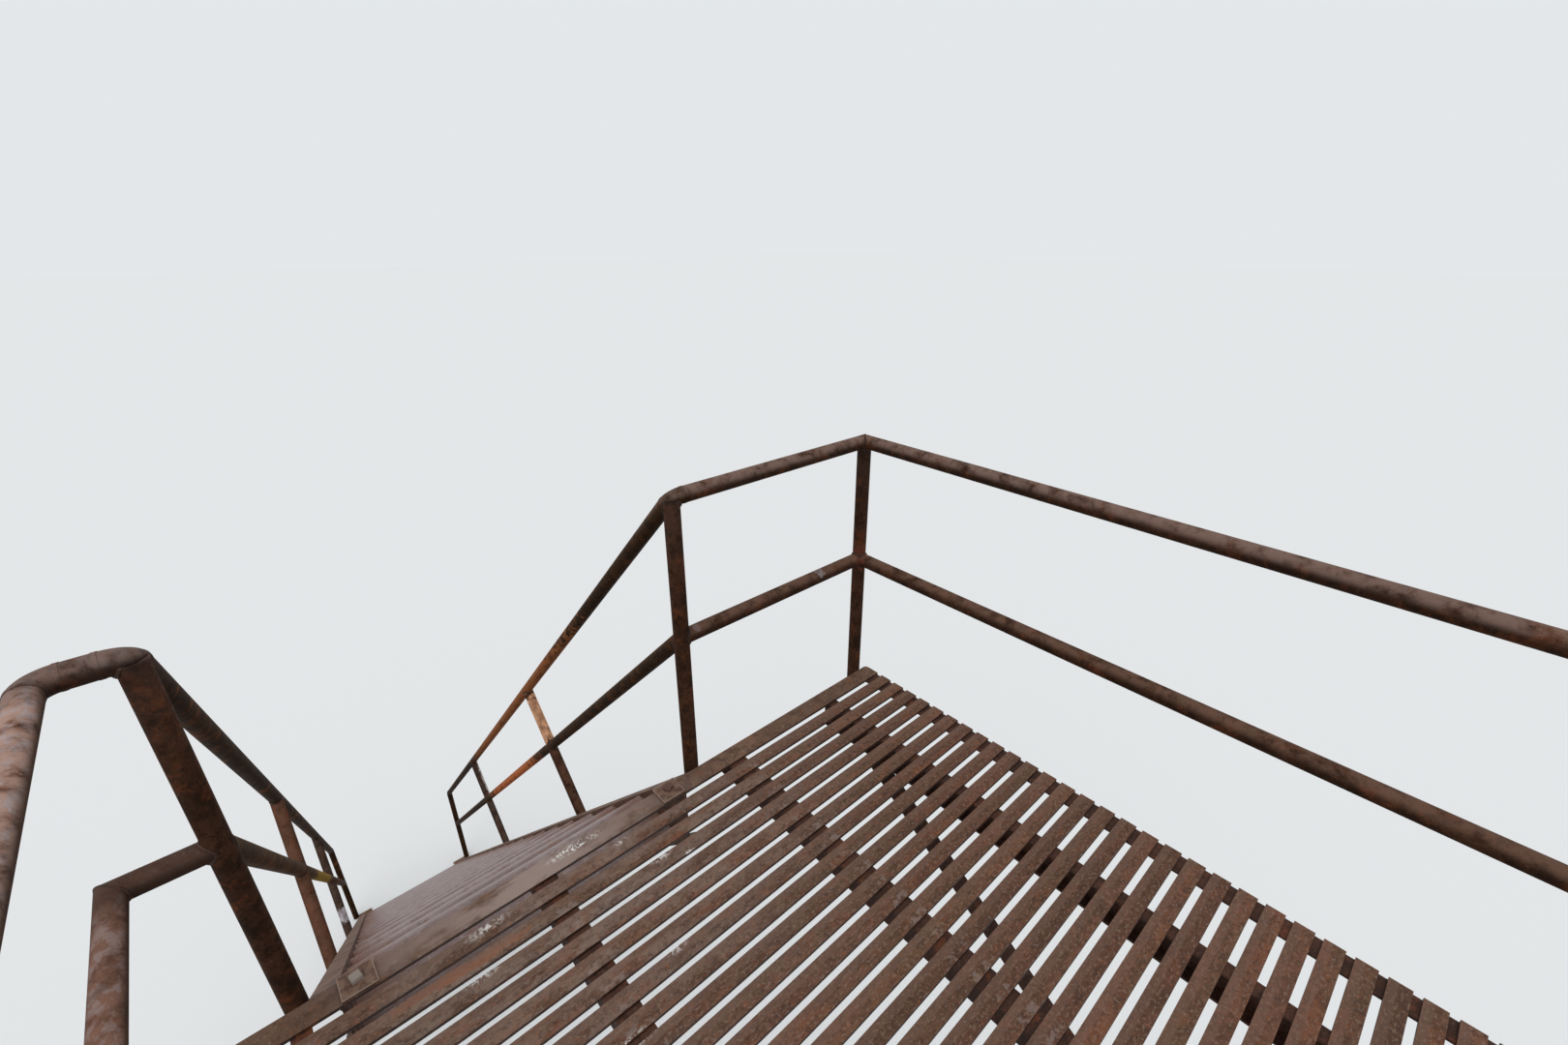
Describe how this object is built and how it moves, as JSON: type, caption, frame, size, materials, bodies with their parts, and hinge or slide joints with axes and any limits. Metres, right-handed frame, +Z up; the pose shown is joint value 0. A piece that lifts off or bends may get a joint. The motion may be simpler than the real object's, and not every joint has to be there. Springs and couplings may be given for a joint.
{
  "type": "fire escape stair",
  "caption": "Steel fire escape stair: wall-bracketed landing of flat bars with pipe guard rails and a steep straight flight of plate treads down to the ground.",
  "frame": {"origin": "back face of the landing's rear edge angle, at the middle of its length and of its leg, flat on the wall", "axes": "+X along the wall, to the right when looking out from it; +Y straight out from the wall; +Z up"},
  "size_m": [2.1509, 6.9564, 5.8979],
  "materials": {
    "deck_bar": "rusted flat bar, worn grey where walked on",
    "edge_bar": "rusted angle with bright worn edges",
    "frame_steel": "dark rust over old paint",
    "stringer_steel": "light brown worn flange over dark rust",
    "tread_plate": "grey worn plate, bright nosing, red rust at the ends",
    "rail_pipe": "dark brown rusted paint with orange spots",
    "red_rust_pipe": "red brown rusted paint"
  },
  "bodies": {
    "root": {"deck_slats": "deck_bar", "front_edge_bars": "edge_bar", "rear_edge_angle": "edge_bar", "deck_bearers": "frame_steel", "right_bracket_channel": "frame_steel", "left_bracket_channel": "frame_steel", "right_bracket_brace": "frame_steel", "left_bracket_brace": "frame_steel", "right_wall_upright": "frame_steel", "left_wall_upright": "frame_steel", "right_stringer": "stringer_steel", "left_stringer": "stringer_steel", "tread_01": "tread_plate", "tread_02": "tread_plate", "tread_03": "tread_plate", "tread_04": "tread_plate", "tread_05": "tread_plate", "tread_06": "tread_plate", "tread_07": "tread_plate", "tread_08": "tread_plate", "tread_09": "tread_plate", "tread_10": "tread_plate", "tread_11": "tread_plate", "tread_12": "tread_plate", "tread_13": "tread_plate", "tread_14": "tread_plate", "tread_15": "tread_plate", "tread_16": "tread_plate", "tread_17": "tread_plate", "tread_18": "tread_plate", "tread_19": "tread_plate", "corner_post": "rail_pipe", "right_landing_post": "rail_pipe", "left_landing_post": "rail_pipe", "right_side_rails": "rail_pipe", "front_rails": "rail_pipe", "left_side_rails": "rail_pipe", "right_stair_top_rail": "rail_pipe", "left_stair_top_rail": "rail_pipe", "right_stair_mid_rails": "red_rust_pipe", "left_stair_mid_rails": "red_rust_pipe", "right_upper_post": "red_rust_pipe", "left_upper_post": "red_rust_pipe", "right_lower_post": "red_rust_pipe", "left_lower_post": "red_rust_pipe"}
  },
  "joints": []
}
